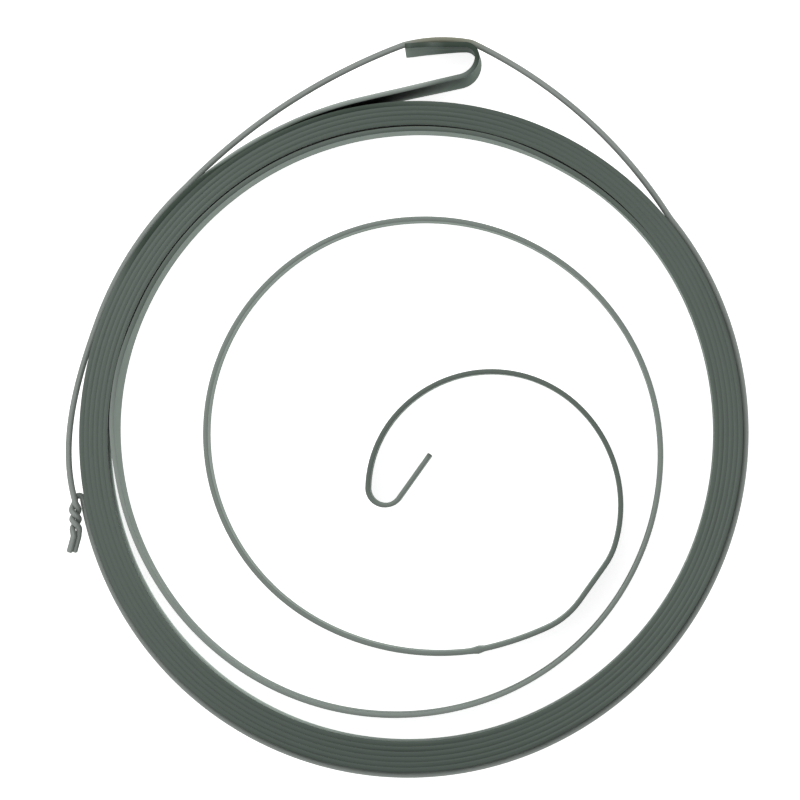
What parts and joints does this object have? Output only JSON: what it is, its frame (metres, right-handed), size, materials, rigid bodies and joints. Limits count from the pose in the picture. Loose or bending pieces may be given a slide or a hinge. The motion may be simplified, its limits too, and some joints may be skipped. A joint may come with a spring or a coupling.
{
  "type": "recoil starter spring",
  "caption": "Flat spiral starter spring: steel strip wound on edge into a ring, a hook at its inner and outer end, held wound by a loop of soft wire twisted shut.",
  "frame": {"origin": "centre of the wound ring, on the surface that the spring lies on", "axes": "+Z along the coil's axis, up; +Y from the centre towards the outer hook; +X to the right of it"},
  "size_m": [0.0878, 0.0953, 0.0095],
  "materials": {
    "spring_steel": "satin rolled strip, tempered grey with a trace of oil",
    "soft_wire": "dull drawn wire"
  },
  "bodies": {
    "root": {"spring_strip": "spring_steel", "retaining_wire": "soft_wire"}
  },
  "joints": []
}
